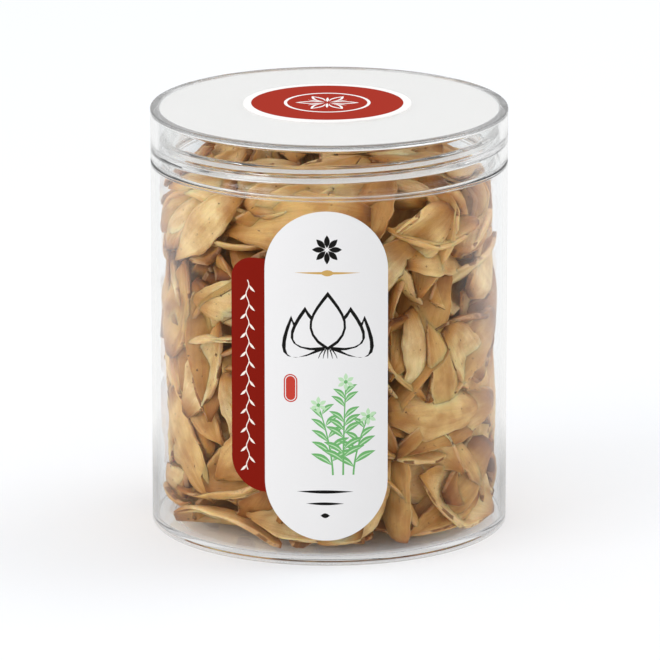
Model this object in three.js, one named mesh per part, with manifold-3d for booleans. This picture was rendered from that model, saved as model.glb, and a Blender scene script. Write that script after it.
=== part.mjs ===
// A straight-sided clear jar of dried lily bulb scales, closed by a clear screw lid.
// Millimetres, +Z up. The origin is the centre of the base, and the front label faces -Y.
import * as THREE from "three";
import { mergeVertices } from "three/addons/utils/BufferGeometryUtils.js";
import Module from "manifold-3d";

const wasm = await Module();
wasm.setup();

// ---- Driving dimensions ----

const OUTER_RADIUS = 42.5; // jar and lid are flush
const TOTAL_HEIGHT = 101.2;
const SIDES = 48; // flats round every turned piece

const JAR = {
  wall: 1.3,
  standingRing: [39.0, 41.9], // inner and outer radius of the ring that it stands on
  pushUp: 0.4, // the middle of the base is raised this much
  floorTop: 2.1,
  floorRound: 0.7, // of the corner inside, between floor and wall
  heel: 0.6,
  shoulder: 88.7,
  shoulderRound: 0.6,
  neckRadius: 39.3,
  neckWall: 1.4,
  rimTop: 99.6,
  rimRound: 0.5,
};
const INNER_RADIUS = OUTER_RADIUS - JAR.wall;
const MOUTH_RADIUS = JAR.neckRadius - JAR.neckWall;

const LID = {
  height: 12.1,
  plate: 0.9,
  wall: 1.8,
  edgeRound: 0.7,
  innerRound: 0.4,
};
const LID_BOTTOM = TOTAL_HEIGHT - LID.height;
const LID_INNER_RADIUS = OUTER_RADIUS - LID.wall;
const PLATE_BOTTOM = TOTAL_HEIGHT - LID.plate;

// One right-hand thread: the lid rises as it turns counterclockwise, seen from above.
// The lid's ridge lies below the jar's, which holds it down.
const THREAD = {
  pitch: 5.0,
  rootWidth: 1.8,
  crestWidth: 0.8,
  sunk: 0.4, // how far a ridge's root lies inside its wall
  fade: 22.5, // degrees over which each end of a ridge runs out
  endShare: 0.15, // of the crest's height, left at the very end
  step: 360 / SIDES, // degrees, so that a ridge's corners meet the wall's
  jar: { crest: 40.3, startAngle: 0, endAngle: 390, startHeight: 91.35 },
  lid: { crest: 39.65, startAngle: 75, endAngle: 390, below: 2.5 },
};

const SEAT_GAP = 0.05; // between a thin disc or label and what carries it
const LINER = { radius: 40.1, thickness: 0.5 };
const STICKER = { radius: 20, thickness: 0.25, centre: [-0.5, 2.1] };
const LABEL_THICKNESS = 0.25;
const WHITE_LABEL = { width: 28.75, bottom: 6.4, top: 85.9 };
const RED_LABEL = { reach: 22.2, bottom: 17.6, top: 73.95, bottomRound: 7.8, topRound: 5.2 };

// The dried scales, as they lie after the jar is filled and shaken.
const HEAP = {
  seed: 20,
  count: 380,
  length: [25, 36],
  widthShare: [0.37, 0.5], // of the length
  riseShare: [0.06, 0.17], // how high a scale's back is bowed along its length
  cupShare: [0.1, 0.28], // how deep it is cupped, as a share of its width
  gap: 0.45, // from the jar's inside to any scale
  leastGap: 0.35, // past which a scale's flat facets are cut off
  narrowing: [82.9, 86.9], // heights between which the scales give way to the neck
  crownHeight: 97, // top of the heap, at the axis
  crownDrop: 12, // from there down to its edge
  drawnInset: 1.75, // of the places where scales start, from the heap's outside
};

// How the scales find their places: each is felt at a few points, which push apart.
const SETTLING = {
  feelerRadius: 1.8,
  edgeRadius: 0.9, // how near a feeler comes to the outside of the heap
  drift: 0.12, // each round, towards the wall, the floor or the crown
  driftDepth: 18, // of what lies this near to one of them
  rounds: 220,
  calmRounds: 60, // the last of them, without drift
  listEvery: 10, // rounds between two listings of near feelers
  listMargin: 2.5,
  give: 0.9, // share of each push that is followed
  firm: 0.3, // a push longer than this counts as a contact
  fewestContacts: 3,
};

// The solid scales: those that show from outside, fused round a core.
const SHOWN = {
  stations: [0, 0.3, 0.68], // shares of the length with a cross-section
  thickness: 1.4,
  depth: 5, // mean depth under the heap's outside of a scale that may show
  coverRadius: 2.5, // a shown point hides all that lies this near it
  freshShare: 0.45, // of a scale's points that no other hides, to be shown
  bite: 1.5, // mm3 that each shares with what it is fused to
  slide: 0.6, // it is slid inwards by this much at a time, until it bites
  slides: 9,
};
const CORE = {
  radius: 33.5,
  sides: 12,
  floorDepth: 3, // its own floor, above the heap's
  heel: 4,
  crownDepth: 6.5, // its top, under the heap's crown
  edgeHeight: 76,
};

// ---- Helpers ----

function material(color, roughness, opacity = 1) {
  const clear = opacity < 1;
  return new THREE.MeshStandardMaterial({ color, roughness, metalness: 0, opacity, transparent: clear });
}

function solid(geometry) {
  const bare = new THREE.BufferGeometry().setAttribute("position", geometry.getAttribute("position"));
  bare.setIndex(geometry.index);
  const merged = mergeVertices(bare, 1e-4);
  return new wasm.Manifold(
    new wasm.Mesh({
      numProp: 3,
      vertProperties: new Float32Array(merged.attributes.position.array),
      triVerts: new Uint32Array(merged.index.array),
    }),
  );
}

function geometryOf(manifold) {
  const { vertProperties, triVerts } = manifold.getMesh();
  const geometry = new THREE.BufferGeometry();
  geometry.setAttribute("position", new THREE.BufferAttribute(vertProperties, 3));
  geometry.setIndex(new THREE.BufferAttribute(triVerts, 1));
  return geometry;
}

function mesh(name, geometry, look) {
  const made = new THREE.Mesh(geometry, look);
  made.name = name;
  return made;
}

// A profile of [radius, height] points turned about Z.
function turned(profile, sides = SIDES) {
  const points = profile.map(([r, z]) => new THREE.Vector2(r, z));
  return new THREE.LatheGeometry(points, sides).rotateX(Math.PI / 2);
}

// Points of a circular arc in the profile plane, angles in degrees.
function arc(centreR, centreZ, radius, from, to, steps = 3) {
  return Array.from({ length: steps + 1 }, (_, k) => {
    const angle = THREE.MathUtils.degToRad(from + ((to - from) * k) / steps);
    return [centreR + radius * Math.cos(angle), centreZ + radius * Math.sin(angle)];
  });
}

// A closed strip: each ring is a closed loop of points, joined to the next, with flat ends.
function loft(rings) {
  const perRing = rings[0].length;
  const index = [];
  rings.slice(1).forEach((_, k) => {
    for (let i = 0; i < perRing; i++) {
      const a = k * perRing + i;
      const b = k * perRing + ((i + 1) % perRing);
      index.push(a, b, b + perRing, a, b + perRing, a + perRing);
    }
  });
  const last = (rings.length - 1) * perRing;
  for (let i = 1; i < perRing - 1; i++) {
    index.push(0, i + 1, i, last, last + i, last + i + 1);
  }
  const geometry = new THREE.BufferGeometry();
  geometry.setAttribute("position", new THREE.Float32BufferAttribute(rings.flat(2), 3));
  geometry.setIndex(index);
  return geometry;
}

// A helical ridge on a wall of radius root, standing in or out to crest.
function threadRidge(root, crest, startAngle, endAngle, startHeight) {
  const outward = Math.sign(crest - root);
  const steps = Math.round((endAngle - startAngle) / THREAD.step);
  const rings = Array.from({ length: steps + 1 }, (_, k) => {
    const turn = startAngle + ((endAngle - startAngle) * k) / steps;
    const fromEnd = Math.min(turn - startAngle, endAngle - turn);
    const share = Math.min(1, THREAD.endShare + fromEnd / THREAD.fade);
    const angle = THREE.MathUtils.degToRad(turn);
    const z = startHeight + (THREAD.pitch * (turn - startAngle)) / 360;
    const tip = root + (crest - root) * share;
    const base = root - outward * THREAD.sunk;
    const section = [
      [base, -THREAD.rootWidth / 2],
      [tip, -THREAD.crestWidth / 2],
      [tip, THREAD.crestWidth / 2],
      [base, THREAD.rootWidth / 2],
    ];
    const ordered = outward > 0 ? section.reverse() : section;
    return ordered.map(([r, dz]) => [r * Math.cos(angle), r * Math.sin(angle), z + dz]);
  });
  return solid(loft(rings));
}

// ---- Jar and lid ----

// The jar's inside from the middle of its floor up to the mouth, moved inwards by inset.
function insideProfile(inset, top) {
  const wall = INNER_RADIUS - inset;
  const floor = JAR.floorTop + inset;
  const mouth = MOUTH_RADIUS - inset;
  const round = JAR.shoulderRound;
  const underShoulder = JAR.shoulder - JAR.wall - inset;
  return [
    [0, floor],
    [wall - JAR.floorRound, floor],
    [wall - 0.3 * JAR.floorRound, floor + 0.3 * JAR.floorRound],
    [wall, floor + JAR.floorRound],
    ...arc(wall - round, underShoulder - round, round, 0, 90),
    [mouth, underShoulder + 0.7],
    [mouth, top],
  ];
}

function jarBody() {
  const [ringInner, ringOuter] = JAR.standingRing;
  const heelRun = OUTER_RADIUS - ringOuter;
  const { heel, shoulder, shoulderRound, neckRadius, rimTop, rimRound } = JAR;
  const profile = [
    [0, JAR.pushUp],
    [ringInner - 4 * JAR.pushUp, JAR.pushUp],
    [ringInner, 0],
    [ringOuter, 0],
    [ringOuter + 0.6 * heelRun, 0.25 * heel],
    [ringOuter + 0.92 * heelRun, 0.62 * heel],
    [OUTER_RADIUS, heel],
    ...arc(OUTER_RADIUS - shoulderRound, shoulder - shoulderRound, shoulderRound, 0, 90),
    [neckRadius, shoulder],
    [neckRadius, rimTop - rimRound],
    [neckRadius - rimRound, rimTop],
    [MOUTH_RADIUS + rimRound, rimTop],
    ...insideProfile(0, rimTop - rimRound).reverse(),
  ];
  const { crest, startAngle, endAngle, startHeight } = THREAD.jar;
  const ridge = threadRidge(neckRadius, crest, startAngle, endAngle, startHeight);
  return geometryOf(solid(turned(profile)).add(ridge));
}

function lidShell() {
  const { edgeRound, innerRound } = LID;
  const profile = [
    [0, PLATE_BOTTOM],
    [LID_INNER_RADIUS - innerRound, PLATE_BOTTOM],
    [LID_INNER_RADIUS, PLATE_BOTTOM - innerRound],
    [LID_INNER_RADIUS, LID_BOTTOM],
    ...arc(OUTER_RADIUS - edgeRound, LID_BOTTOM + edgeRound, edgeRound, -90, 0, 2),
    ...arc(OUTER_RADIUS - edgeRound, TOTAL_HEIGHT - edgeRound, edgeRound, 0, 90, 2),
    [0, TOTAL_HEIGHT],
  ];
  const { crest, startAngle, endAngle, below } = THREAD.lid;
  const jarHeight = THREAD.jar.startHeight + (THREAD.pitch * startAngle) / 360;
  const ridge = threadRidge(LID_INNER_RADIUS, crest, startAngle, endAngle, jarHeight - below);
  return geometryOf(solid(turned(profile)).add(ridge));
}

// A flat round disc whose underside is at height z.
function disc(radius, thickness, z) {
  return turned([
    [0, z],
    [radius, z],
    [radius, z + thickness],
    [0, z + thickness],
  ]);
}

function lidLiner() {
  return disc(LINER.radius, LINER.thickness, PLATE_BOTTOM - SEAT_GAP - LINER.thickness);
}

function lidSticker() {
  return disc(STICKER.radius, STICKER.thickness, TOTAL_HEIGHT + SEAT_GAP).translate(...STICKER.centre, 0);
}

// ---- Labels: flat outlines wrapped on the front of the jar ----

function prism(outline) {
  const drawn = { depth: 2 * OUTER_RADIUS, bevelEnabled: false, curveSegments: 10 };
  return solid(new THREE.ExtrudeGeometry(outline, drawn).rotateX(Math.PI / 2));
}

// What a prism towards the front cuts from a thin band round the jar.
function wrapped(cutter) {
  const low = OUTER_RADIUS + SEAT_GAP;
  const high = low + LABEL_THICKNESS;
  const band = turned([
    [low, 0],
    [high, 0],
    [high, TOTAL_HEIGHT],
    [low, TOTAL_HEIGHT],
    [low, 0],
  ]);
  return geometryOf(solid(band).intersect(cutter));
}

// A tall outline with half-round ends.
function pill(width, bottom, top) {
  const r = width / 2;
  const shape = new THREE.Shape();
  shape.moveTo(-r, bottom + r);
  shape.absarc(0, bottom + r, r, Math.PI, 2 * Math.PI);
  shape.absarc(0, top - r, r, 0, Math.PI);
  return shape;
}

function frontLabel() {
  return wrapped(prism(pill(WHITE_LABEL.width, WHITE_LABEL.bottom, WHITE_LABEL.top)));
}

// It runs up to the edge of the front label.
function sideLabel() {
  const { reach, bottom, top, bottomRound, topRound } = RED_LABEL;
  const shape = new THREE.Shape();
  shape.moveTo(0, bottom);
  shape.lineTo(0, top);
  shape.lineTo(topRound - reach, top);
  shape.absarc(topRound - reach, top - topRound, topRound, Math.PI / 2, Math.PI);
  shape.absarc(bottomRound - reach, bottom + bottomRound, bottomRound, Math.PI, 1.5 * Math.PI);
  const { width, bottom: low, top: high } = WHITE_LABEL;
  const clear = pill(width + 2 * SEAT_GAP, low - SEAT_GAP, high + SEAT_GAP);
  return wrapped(prism(shape).subtract(prism(clear)));
}

// ---- The heap: where each scale lies ----

// A repeatable stream of numbers from 0 to 1.
function randomStream(seed) {
  let state = seed;
  return () => {
    state = (Math.imul(state, 1664525) + 1013904223) >>> 0;
    return state / 4294967296;
  };
}

const between = ([low, high], share) => low + (high - low) * share;

// The room that the heap fills: how far from the axis, how low and how high it reaches.
const WALL_LIMIT = INNER_RADIUS - HEAP.gap;
const MOUTH_LIMIT = MOUTH_RADIUS - HEAP.gap;
const FLOOR_LIMIT = JAR.floorTop + HEAP.gap;

function wallLimit(z) {
  const [low, high] = HEAP.narrowing;
  return between([WALL_LIMIT, MOUTH_LIMIT], THREE.MathUtils.clamp((z - low) / (high - low), 0, 1));
}

function crownLimit(distance) {
  return HEAP.crownHeight - HEAP.crownDrop * (distance / WALL_LIMIT) ** 2;
}

// The three sides that the heap shows: how deep a point lies under each, which way is out,
// and where the point shows on it.
const ASPECTS = [
  {
    depth: ({ x, y, z }) => wallLimit(z) - Math.hypot(x, y),
    outward: ({ x, y }) => new THREE.Vector3(x, y, 0).normalize(),
    spot: ({ x, y, z }) => [WALL_LIMIT * Math.atan2(y, x), z],
  },
  {
    depth: ({ z }) => z - FLOOR_LIMIT,
    outward: () => new THREE.Vector3(0, 0, -1),
    spot: ({ x, y }) => [x, y],
  },
  {
    depth: ({ x, y, z }) => crownLimit(Math.hypot(x, y)) - z,
    outward: () => new THREE.Vector3(0, 0, 1),
    spot: ({ x, y }) => [x, y],
  },
];

function aspectOf(point) {
  return ASPECTS.reduce((best, aspect) => (aspect.depth(point) < best.depth(point) ? aspect : best));
}

// Half a scale's width at share s of its length, from cut base to tip, where 1 is the widest.
function outline(s) {
  const rest = 1 - s;
  return 0.3 * rest ** 3 + 4.2 * s * rest ** 2 + 3.3 * s ** 2 * rest;
}

// A point of a scale's middle surface, in its own frame, its hollow side facing -Z.
function scalePoint({ length, width, rise, cup }, s, t) {
  const half = outline(s) * t;
  const height = rise * (4 * s * (1 - s) - 2 / 3) - cup * half ** 2;
  return new THREE.Vector3((s - 0.5) * length, (half * width) / 2, height);
}

function placed(scale, point) {
  return point.applyQuaternion(scale.turn).add(scale.centre);
}

function drawInBall(random, dimensions) {
  let point;
  let size;
  do {
    point = Array.from({ length: dimensions }, () => 2 * random() - 1);
    size = Math.hypot(...point);
  } while (size > 1 || size < 0.2);
  return { point, size };
}

function drawScale(random, index) {
  const length = between(HEAP.length, random());
  const width = length * between(HEAP.widthShare, random());
  const rise = length * between(HEAP.riseShare, random());
  const cup = width * between(HEAP.cupShare, random());
  const level = (index + random()) / HEAP.count;
  const spot = drawInBall(random, 2);
  const turn = drawInBall(random, 4);
  const reach = WALL_LIMIT - HEAP.drawnInset;
  const top = crownLimit(spot.size * reach) - HEAP.drawnInset;
  const z = between([FLOOR_LIMIT + HEAP.drawnInset, top], level);
  return {
    length,
    width,
    rise,
    cup,
    centre: new THREE.Vector3(spot.point[0] * reach, spot.point[1] * reach, z),
    turn: new THREE.Quaternion(...turn.point.map((v) => v / turn.size)),
  };
}

// The points that a scale is felt at: five down its middle and four near each edge.
const FEELERS = [
  ...[0.08, 0.3, 0.5, 0.7, 0.92].map((s) => [s, 0]),
  ...[0.2, 0.4, 0.6, 0.8].flatMap((s) => [
    [s, 0.7],
    [s, -0.7],
  ]),
];

function nearPairs(scales, feelers) {
  const reach = 2 * SETTLING.feelerRadius + SETTLING.listMargin;
  const pairs = [];
  scales.forEach((one, i) => {
    for (let j = i + 1; j < scales.length; j++) {
      if (one.centre.distanceTo(scales[j].centre) > HEAP.length[1] + reach) continue;
      for (const a of feelers[i]) {
        for (const b of feelers[j]) {
          if (a.at.distanceTo(b.at) < reach) pairs.push([a, b]);
        }
      }
    }
  });
  return pairs;
}

function pushApart(one, other) {
  const away = one.at.clone().sub(other.at);
  const overlap = 2 * SETTLING.feelerRadius - away.length();
  if (overlap <= 0) return;
  away.setLength(overlap / 2);
  one.push.add(away);
  other.push.sub(away);
}

// What the wall, the floor and the crown do to a feeler, and its drift towards the nearest.
function pushInside({ at, push }, drift) {
  push.set(0, 0, 0);
  ASPECTS.forEach(({ depth, outward }) => {
    const lacking = Math.max(0, SETTLING.edgeRadius - depth(at));
    push.addScaledVector(outward(at), -lacking);
  });
  const nearest = aspectOf(at);
  if (nearest.depth(at) < SETTLING.driftDepth) push.addScaledVector(nearest.outward(at), drift);
}

// Moves and turns a scale as the pushes on its feelers want it.
function follow(scale, feelers) {
  const move = new THREE.Vector3();
  const turning = new THREE.Vector3();
  feelers.forEach(({ arm, push }) => {
    move.add(push);
    turning.add(arm.clone().cross(push));
  });
  const firm = feelers.filter(({ push }) => push.length() > SETTLING.firm).length;
  const give = SETTLING.give / Math.max(SETTLING.fewestContacts, firm);
  scale.centre.addScaledVector(move, give);
  const meanArm = feelers.reduce((sum, { arm }) => sum + arm.lengthSq(), 0) / feelers.length;
  const half = turning.multiplyScalar((0.5 * give) / meanArm);
  scale.turn.premultiply(new THREE.Quaternion(half.x, half.y, half.z, 1)).normalize();
}

function settle(scales) {
  const feelers = scales.map((scale) =>
    FEELERS.map(([s, t]) => ({
      local: scalePoint(scale, s, t),
      arm: new THREE.Vector3(),
      at: new THREE.Vector3(),
      push: new THREE.Vector3(),
    })),
  );
  let pairs;
  for (let round = 0; round < SETTLING.rounds; round++) {
    const drift = round < SETTLING.rounds - SETTLING.calmRounds ? SETTLING.drift : 0;
    scales.forEach((scale, i) => {
      for (const feeler of feelers[i]) {
        feeler.arm.copy(feeler.local).applyQuaternion(scale.turn);
        feeler.at.copy(feeler.arm).add(scale.centre);
        pushInside(feeler, drift);
      }
    });
    if (round % SETTLING.listEvery === 0) pairs = nearPairs(scales, feelers);
    pairs.forEach(([one, other]) => pushApart(one, other));
    scales.forEach((scale, i) => follow(scale, feelers[i]));
  }
}

// ---- The heap: its solid ----

// A scale's points where it would hide others, each with the side that it shows on.
function coverPoints(scale) {
  return [0.1, 0.3, 0.5, 0.7, 0.9].flatMap((s) =>
    [-0.75, 0, 0.75].map((t) => {
      const point = placed(scale, scalePoint(scale, s, t));
      const aspect = aspectOf(point);
      return { aspect, depth: aspect.depth(point), spot: aspect.spot(point) };
    }),
  );
}

// The scales that show from outside, from the deepest to the outermost.
function shownScales(scales) {
  const ranked = scales.map((scale) => {
    const points = coverPoints(scale);
    return { scale, points, depth: points.reduce((sum, p) => sum + p.depth, 0) / points.length };
  });
  ranked.sort((a, b) => a.depth - b.depth);
  const covered = [];
  const near = (a, b) => Math.hypot(a[0] - b[0], a[1] - b[1]) < SHOWN.coverRadius;
  const hidden = ({ aspect, spot }) => covered.some((o) => o.aspect === aspect && near(o.spot, spot));
  const kept = ranked.filter(({ points, depth }) => {
    const fresh = points.filter((point) => !hidden(point)).length / points.length;
    const keep = depth < SHOWN.depth && fresh >= SHOWN.freshShare;
    if (keep) covered.push(...points);
    return keep;
  });
  return kept.reverse().map(({ scale }) => scale);
}

// Brings a point that lies outside the heap's room back to its boundary.
function pressed(point) {
  const distance = Math.hypot(point.x, point.y);
  const squeeze = Math.min(1, wallLimit(point.z) / distance);
  const z = THREE.MathUtils.clamp(point.z, FLOOR_LIMIT, crownLimit(distance));
  return new THREE.Vector3(point.x * squeeze, point.y * squeeze, z);
}

// One scale with a sharp rim, thickest down its middle, moved by shift.
function blade(scale, shift) {
  const thick = new THREE.Vector3(0, 0, SHOWN.thickness / 2);
  const rings = [...SHOWN.stations, 1].map((s) => {
    const middle = scalePoint(scale, s, 0);
    const back = s < 1 ? middle.clone().add(thick) : middle.clone();
    const hollow = s < 1 ? middle.clone().sub(thick) : middle;
    const ring = [scalePoint(scale, s, 1), back, scalePoint(scale, s, -1), hollow];
    return ring.map((point) => pressed(placed(scale, point).add(shift)).toArray());
  });
  return solid(loft(rings));
}

function core() {
  const { radius, sides, heel, edgeHeight } = CORE;
  const floor = FLOOR_LIMIT + CORE.floorDepth;
  const under = (r) => [r, crownLimit(r) - CORE.crownDepth];
  const profile = [
    [0, floor],
    [radius - heel, floor],
    [radius, floor + heel],
    [radius, edgeHeight],
    under(radius - heel),
    under(radius / 2),
    under(0),
  ];
  return solid(turned(profile, sides));
}

// The heap with the scale fused on, slid inwards only as far as it must.
function fused(heap, scale) {
  const outward = aspectOf(scale.centre).outward(scale.centre);
  for (let k = 0; k < SHOWN.slides; k++) {
    const made = blade(scale, outward.clone().multiplyScalar(-k * SHOWN.slide));
    if (heap.intersect(made).volume() > SHOWN.bite) return heap.add(made);
  }
  return heap;
}

function driedScales() {
  const random = randomStream(HEAP.seed);
  const scales = Array.from({ length: HEAP.count }, (_, index) => drawScale(random, index));
  settle(scales);
  const heap = shownScales(scales).reduce(fused, core());
  const room = solid(turned([...insideProfile(HEAP.leastGap, JAR.rimTop), [0, JAR.rimTop]]));
  const [largest] = heap.intersect(room).decompose().sort((a, b) => b.volume() - a.volume());
  return geometryOf(largest);
}

// ---- The whole ----

const CLEAR_PLASTIC = material(0xf2f4f4, 0.05, 0.28);
const WHITE_PAPER = material(0xf0efed, 0.45);
const DARK_RED_PAPER = material(0x8a1f12, 0.4);
const RED_PAPER = material(0xaf3a30, 0.4);
const DRIED_FLESH = material(0xc9a877, 0.6);

const jar = new THREE.Group();
jar.add(mesh("jar_body", jarBody(), CLEAR_PLASTIC));
jar.add(mesh("dried_scales", driedScales(), DRIED_FLESH));
jar.add(mesh("lid_shell", lidShell(), CLEAR_PLASTIC));
jar.add(mesh("lid_liner", lidLiner(), WHITE_PAPER));
jar.add(mesh("lid_sticker", lidSticker(), RED_PAPER));
jar.add(mesh("front_label", frontLabel(), WHITE_PAPER));
jar.add(mesh("side_label", sideLabel(), DARK_RED_PAPER));

export default jar;
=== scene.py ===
# %% [markdown]
# # A clear jar of dried lily bulb scales
#
# The real object is a straight jar of clear plastic with a clear screw lid, full of the dried
# scales that a lily bulb falls into. Each cell below makes one piece or one finish of it.
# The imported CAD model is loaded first, and every size that it already has is read from it, so
# that the looks sit exactly on the solids that move and collide.

import math

import bmesh
import bpy
import numpy as np
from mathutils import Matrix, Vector
from mathutils.geometry import delaunay_2d_cdt


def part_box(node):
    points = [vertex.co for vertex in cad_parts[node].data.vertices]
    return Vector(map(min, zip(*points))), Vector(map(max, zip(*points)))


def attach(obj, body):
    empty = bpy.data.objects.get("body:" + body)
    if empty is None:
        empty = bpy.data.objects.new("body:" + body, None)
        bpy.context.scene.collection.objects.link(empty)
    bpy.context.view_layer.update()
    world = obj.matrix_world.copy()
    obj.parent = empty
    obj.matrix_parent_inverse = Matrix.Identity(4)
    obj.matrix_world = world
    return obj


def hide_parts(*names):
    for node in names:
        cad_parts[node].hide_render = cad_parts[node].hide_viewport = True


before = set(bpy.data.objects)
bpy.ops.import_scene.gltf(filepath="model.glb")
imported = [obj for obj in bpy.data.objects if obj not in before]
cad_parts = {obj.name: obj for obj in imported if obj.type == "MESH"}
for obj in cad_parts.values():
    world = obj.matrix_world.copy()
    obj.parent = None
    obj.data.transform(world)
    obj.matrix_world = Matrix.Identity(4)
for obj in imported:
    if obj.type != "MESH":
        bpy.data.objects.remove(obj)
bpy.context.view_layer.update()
mm = 0.001

# %% The sizes that the frame gives
jar_low, jar_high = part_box("jar_body")
lid_low, lid_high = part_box("lid_shell")
OUTER_RADIUS = jar_high.x
RIM_TOP = jar_high.z
LID_BOTTOM = lid_low.z
LID_TOP = lid_high.z
print(f"jar: {2 * OUTER_RADIUS / mm:.1f} mm across, {LID_TOP / mm:.1f} mm high with its lid")

# %% [markdown]
# ## The camera
#
# A long lens far off keeps the sides of a small object nearly parallel. The camera could be
# aimed by a constraint, but its place and turn are set outright, so that nothing moves it. It
# stands one and a half metres away and looks down by 15 degrees.

# %% Place the camera
CAMERA_AZIMUTH = math.radians(0.98)
CAMERA_DISTANCE = 1.5474
CAMERA_HEIGHT = 0.45938
CAMERA_TILT = math.radians(75.048)
CAMERA_LENS = 365.03
CAMERA_SHIFT = 0.8 / 660
CAMERA_REACH = 20.0
camera = bpy.data.objects.new("camera", bpy.data.cameras.new("camera"))
bpy.context.scene.collection.objects.link(camera)
camera.location = (
    CAMERA_DISTANCE * math.sin(CAMERA_AZIMUTH),
    -CAMERA_DISTANCE * math.cos(CAMERA_AZIMUTH),
    CAMERA_HEIGHT,
)
camera.rotation_euler = (CAMERA_TILT, 0, CAMERA_AZIMUTH)
camera.data.lens = CAMERA_LENS
camera.data.shift_x = CAMERA_SHIFT
camera.data.clip_end = CAMERA_REACH
bpy.context.scene.camera = camera
print("camera:", [round(c, 3) for c in camera.location])

# %% [markdown]
# ## Turned pieces
#
# Jar, lid and liner are round, so each is half of its cross-section spun about the axis. The
# half section is drawn as by hand: one vertex is extruded from corner to corner, the corners
# are rounded by a vertex bevel, and the wall that will carry a thread is cut into many rows.

# %% Draw a half section and spin it
SPIN_STEPS = 192
CORNER_STEPS = 6
AT_CORNER = 0.01 * mm
ON_WALL = 0.001 * mm


def choose(test):
    """Selects the vertices of the mesh being edited whose place passes the test, and no others."""
    drawn = bmesh.from_edit_mesh(bpy.context.object.data)
    bpy.ops.mesh.select_all(action="DESELECT")
    for vertex in drawn.verts:
        vertex.select = test(vertex.co)
    drawn.select_flush(True)
    bmesh.update_edit_mesh(bpy.context.object.data)


def turned(name, corners, threaded=None, rows=0):
    """A mesh spun from corners of (radius, height, rounding). The upper wall that stands at
    radius threaded is cut into rows."""
    bpy.ops.object.select_all(action="DESELECT")
    bpy.ops.mesh.primitive_circle_add(vertices=3, radius=mm)
    piece = bpy.context.object
    piece.name = piece.data.name = name
    bpy.ops.object.mode_set(mode="EDIT")
    bpy.ops.mesh.select_all(action="SELECT")
    bpy.ops.mesh.merge(type="CENTER")
    place = Vector((corners[0][0], 0, corners[0][1]))
    bpy.ops.transform.translate(value=place)
    for radius, height, _ in corners[1:]:
        step = Vector((radius, 0, height)) - place
        bpy.ops.mesh.extrude_region_move(TRANSFORM_OT_translate={"value": step})
        place += step
    for radius, height, rounding in corners:
        if rounding:
            corner = Vector((radius, 0, height))
            choose(lambda co: (co - corner).length < AT_CORNER)
            bpy.ops.mesh.bevel(offset=rounding, segments=CORNER_STEPS, affect="VERTICES")
    if threaded:
        choose(lambda co: abs(co.x - threaded) < ON_WALL and co.z > jar_high.z / 2)
        bpy.ops.mesh.subdivide(number_cuts=rows)
    bpy.ops.mesh.select_all(action="SELECT")
    bpy.ops.mesh.spin(steps=SPIN_STEPS, angle=2 * math.pi, center=(0, 0, 0), axis=(0, 0, 1))
    bpy.ops.mesh.select_all(action="SELECT")
    bpy.ops.mesh.remove_doubles(threshold=ON_WALL)
    bpy.ops.mesh.normals_make_consistent(inside=False)
    bpy.ops.object.mode_set(mode="OBJECT")
    bpy.ops.object.shade_smooth()
    print(f"{name}: {len(piece.data.polygons)} faces")
    return piece


# %% [markdown]
# ## The screw thread
#
# The lid holds by one right-hand ridge on the neck and another inside the lid, each with a long
# lower flank and a short upper one. The rows of the wall are pushed out along a helix, rather
# than joined to a separate coil, which would leave a seam inside the clear plastic. The profile
# lists the heights at which the ridge starts, is full, is still full and ends.

# %% Push a helical ridge out of a wall
THREAD_PITCH = 5.0 * mm
THREAD_PROFILE = (-0.9 * mm, 0.4 * mm, 0.6 * mm, 0.9 * mm)
THREAD_FADE_DEGREES = 22.5
THREAD_END_SHARE = 0.15
THREAD_ROWS = 56


def push_thread(piece, wall, crest, start, end, start_height):
    """Moves the wall's vertices towards crest where the ridge runs, from angle start to end."""
    place = np.array([v.co for v in piece.data.vertices])
    radius = np.hypot(place[:, 0], place[:, 1])
    angle = np.degrees(np.arctan2(place[:, 1], place[:, 0])) % 360
    share = np.zeros(len(place))
    for lap in (0, 360):
        turn = angle + lap
        height = place[:, 2] - start_height - THREAD_PITCH * (turn - start) / 360
        flank = np.interp(height, THREAD_PROFILE, (0, 1, 1, 0))
        ends = np.minimum(turn - start, end - turn)
        fade = np.where(ends < 0, 0, np.clip(THREAD_END_SHARE + ends / THREAD_FADE_DEGREES, 0, 1))
        share = np.maximum(share, fade * flank)
    share[np.abs(radius - wall) > ON_WALL] = 0
    place[:, :2] *= (1 + share * (crest - wall) / np.maximum(radius, mm))[:, None]
    piece.data.vertices.foreach_set("co", place.ravel())
    piece.data.update()
    print(f"{piece.name}: {np.count_nonzero(share)} vertices in the thread")


def even_out_normals(piece):
    """Lets large faces set the shading next to small roundings, so that flat walls stay flat."""
    bpy.ops.object.select_all(action="DESELECT")
    piece.select_set(True)
    bpy.context.view_layer.objects.active = piece
    bpy.ops.object.modifier_add(type="WEIGHTED_NORMAL")
    piece.modifiers[-1].weight = 100
    bpy.ops.object.modifier_apply(modifier=piece.modifiers[-1].name)


# %% [markdown]
# ## The jar
#
# Blown from PET: a thin even wall, a rounded heel, a floor that is pushed up so that only a
# ring touches the table, a rounded shoulder and a narrower neck with the outer thread.

# %% Make the jar
WALL = 1.3 * mm
NECK_RADIUS = 39.3 * mm
MOUTH_RADIUS = 37.9 * mm
SHOULDER = 88.7 * mm
FLOOR_TOP = 2.1 * mm
PUSH_UP = 0.3 * mm
STANDING_RING = 37.2 * mm
HEEL_ROUND = 0.5 * mm
SHOULDER_ROUND = 0.5 * mm
SHOULDER_WALL = 0.6 * mm
JAR_CREST = 40.3 * mm
JAR_THREAD_START = 0  # degrees, as are the other starts and ends of the threads
THREAD_END = 390
JAR_THREAD_HEIGHT = 91.35 * mm

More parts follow.
